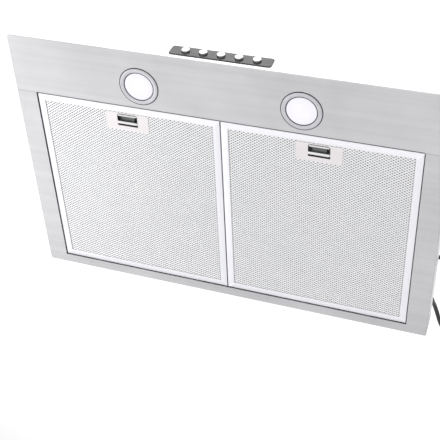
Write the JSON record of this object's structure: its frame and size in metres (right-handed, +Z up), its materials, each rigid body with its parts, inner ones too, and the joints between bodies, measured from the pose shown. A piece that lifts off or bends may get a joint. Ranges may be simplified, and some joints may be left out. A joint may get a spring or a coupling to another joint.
{
  "type": "range_hood",
  "caption": "Under cabinet range hood in brushed stainless steel with two mesh grease filters, round lamps, push buttons and a coiled mains lead",
  "frame": {"origin": "midway between the four cabinet screws, in the top mounting face", "axes": "+X to the right of a person at the cooker, +Y towards the wall, +Z up"},
  "size_m": [0.8687, 0.5947, 0.1793],
  "materials": {
    "casing_steel": "brushed stainless sheet, grain along X",
    "screw_steel": "zinc plated",
    "galvanised_steel": "galvanised sheet, dull spangle",
    "wheel_steel": "galvanised pressed wheel",
    "mesh_aluminium": "bright perforated and knitted aluminium",
    "frame_aluminium": "satin folded aluminium",
    "chrome": "bright plated",
    "spring_steel": "tempered spring steel",
    "lamp_ring": "satin turned ring",
    "lamp_lens": "frosted diffuser with fine rings",
    "lamp_can": "white coated pressing",
    "led_board": "white solder mask",
    "dark_trim": "smooth black moulding",
    "black_plastic": "fine moulded texture",
    "button_metal": "satin plated caps",
    "cord_black": "smooth PVC jacket"
  },
  "bodies": {
    "hood": {"blower_casing": "galvanised_steel", "blower_inlet_plate": "galvanised_steel", "blower_screws": "screw_steel", "canopy_tray": "casing_steel", "capacitor_strap": "galvanised_steel", "casing_screws": "screw_steel", "control_bezel": "dark_trim", "cord_coil": "cord_black", "cord_tie": "black_plastic", "damper_pin": "screw_steel", "duct_collar": "galvanised_steel", "front_panel": "casing_steel", "housing_shell": "casing_steel", "inlet_guard": "galvanised_steel", "junction_box": "galvanised_steel", "lamp_bezel_left": "lamp_ring", "lamp_bezel_right": "lamp_ring", "lamp_can_left": "lamp_can", "lamp_can_right": "lamp_can", "lamp_clips": "lamp_ring", "lamp_lens_left": "lamp_lens", "lamp_lens_right": "lamp_lens", "led_boards": "led_board", "motor": "galvanised_steel", "power_cord": "cord_black", "power_plug": "black_plastic", "rear_outlet_cover": "casing_steel", "run_capacitor": "black_plastic", "strain_relief": "black_plastic", "switch_block": "black_plastic"},
    "filter_left": {"filter_frame_left": "frame_aluminium", "filter_face_mesh_left": "mesh_aluminium", "filter_core_left": "mesh_aluminium", "filter_back_mesh_left": "mesh_aluminium", "filter_hooks_left": "frame_aluminium", "latch_case_left": "frame_aluminium", "latch_plate_left": "frame_aluminium", "latch_springs_left": "spring_steel"},
    "latch_left": {"latch_pull_left": "chrome", "latch_tongue_left": "spring_steel"},
    "filter_right": {"filter_frame_right": "frame_aluminium", "filter_face_mesh_right": "mesh_aluminium", "filter_core_right": "mesh_aluminium", "filter_back_mesh_right": "mesh_aluminium", "filter_hooks_right": "frame_aluminium", "latch_case_right": "frame_aluminium", "latch_plate_right": "frame_aluminium", "latch_springs_right": "spring_steel"},
    "latch_right": {"latch_pull_right": "chrome", "latch_tongue_right": "spring_steel"},
    "button_off": {"button_off": "button_metal"},
    "button_low": {"button_low": "button_metal"},
    "button_medium": {"button_medium": "button_metal"},
    "button_high": {"button_high": "button_metal"},
    "button_light": {"button_light": "button_metal"},
    "fan": {"fan_wheel": "wheel_steel", "motor_shaft": "screw_steel", "wheel_nut": "screw_steel"},
    "flap_front": {"damper_flap_front": "galvanised_steel"},
    "flap_rear": {"damper_flap_rear": "galvanised_steel"}
  },
  "joints": [
    {"name": "filter_left_tilt", "type": "hinge", "parent": "hood", "child": "filter_left", "pos_m": [-0.1685, 0.227, -0.1275], "axis": [1, 0, 0], "range_deg": [0, 70], "deforming": ["latch_tongue_left"]},
    {"name": "filter_right_tilt", "type": "hinge", "parent": "hood", "child": "filter_right", "pos_m": [0.1685, 0.227, -0.1275], "axis": [1, 0, 0], "range_deg": [0, 70], "deforming": ["latch_tongue_right"]},
    {"name": "latch_left_pull", "type": "slide", "parent": "filter_left", "child": "latch_left", "axis": [0, 1, 0], "range_m": [0, 0.0035], "stiffness_N_per_m": 300, "springref_m": -0.004, "deforming": ["latch_springs_left"]},
    {"name": "latch_right_pull", "type": "slide", "parent": "filter_right", "child": "latch_right", "axis": [0, 1, 0], "range_m": [0, 0.0035], "stiffness_N_per_m": 300, "springref_m": -0.004, "deforming": ["latch_springs_right"]},
    {"name": "button_off_press", "type": "slide", "parent": "hood", "child": "button_off", "axis": [0, 1, 0], "range_m": [0, 0.003], "stiffness_N_per_m": 250, "springref_m": -0.002},
    {"name": "button_low_press", "type": "slide", "parent": "hood", "child": "button_low", "axis": [0, 1, 0], "range_m": [0, 0.003], "stiffness_N_per_m": 250, "springref_m": -0.002},
    {"name": "button_medium_press", "type": "slide", "parent": "hood", "child": "button_medium", "axis": [0, 1, 0], "range_m": [0, 0.003], "stiffness_N_per_m": 250, "springref_m": -0.002},
    {"name": "button_high_press", "type": "slide", "parent": "hood", "child": "button_high", "axis": [0, 1, 0], "range_m": [0, 0.003], "stiffness_N_per_m": 250, "springref_m": -0.002},
    {"name": "button_light_press", "type": "slide", "parent": "hood", "child": "button_light", "axis": [0, 1, 0], "range_m": [0, 0.003], "stiffness_N_per_m": 250, "springref_m": -0.002},
    {"name": "fan_spin", "type": "hinge", "parent": "hood", "child": "fan", "pos_m": [-0.118, 0.01, -0.06], "axis": [0, 0, 1], "continuous": true},
    {"name": "damper_front_open", "type": "hinge", "parent": "hood", "child": "flap_front", "pos_m": [0, 0.165, 0.022], "axis": [-1, 0, 0], "range_deg": [0, 75]},
    {"name": "damper_rear_open", "type": "hinge", "parent": "hood", "child": "flap_rear", "pos_m": [0, 0.165, 0.022], "axis": [1, 0, 0], "range_deg": [0, 75]}
  ]
}
